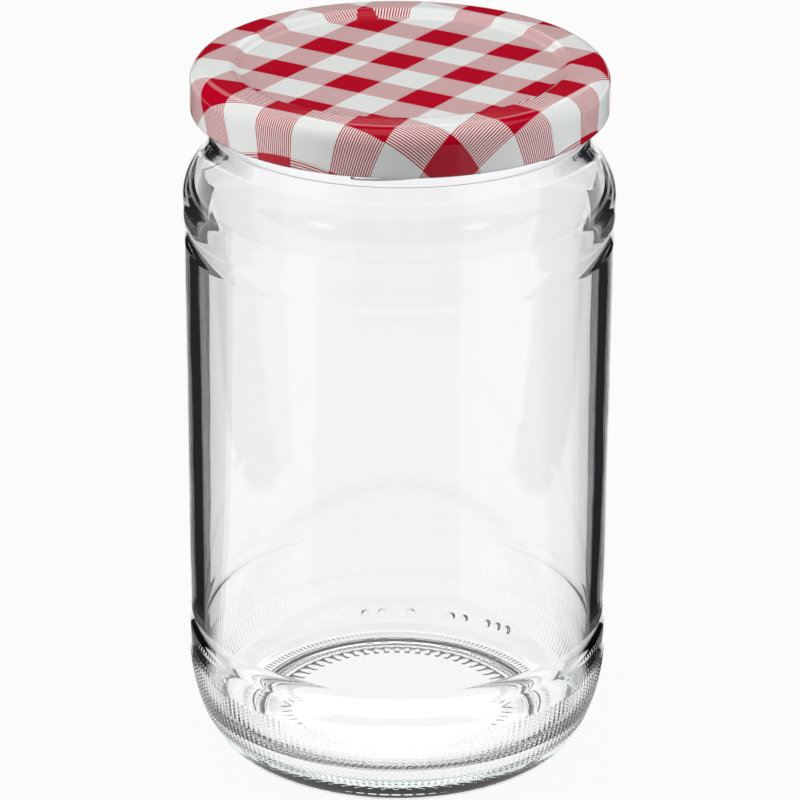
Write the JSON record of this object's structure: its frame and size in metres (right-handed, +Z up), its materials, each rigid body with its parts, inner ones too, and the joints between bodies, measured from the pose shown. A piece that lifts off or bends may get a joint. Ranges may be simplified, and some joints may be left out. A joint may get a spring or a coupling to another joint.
{
  "type": "screw-top jar",
  "caption": "Empty clear glass preserving jar with rounded shoulder and heel, closed by a pressed metal twist-off lid with a woven-check print.",
  "frame": {"origin": "centre of the base, on the surface that the jar stands on", "axes": "+Z up along the jar's axis of symmetry, through the centre of the lid"},
  "size_m": [0.0888, 0.0888, 0.15],
  "materials": {
    "glass": "clear, gloss",
    "lid_lacquer": "gloss lacquer over a printed check",
    "sealing_compound": "satin"
  },
  "bodies": {
    "root": {"glass_jar": "glass", "lid": "lid_lacquer", "sealing_ring": "sealing_compound"}
  },
  "joints": []
}
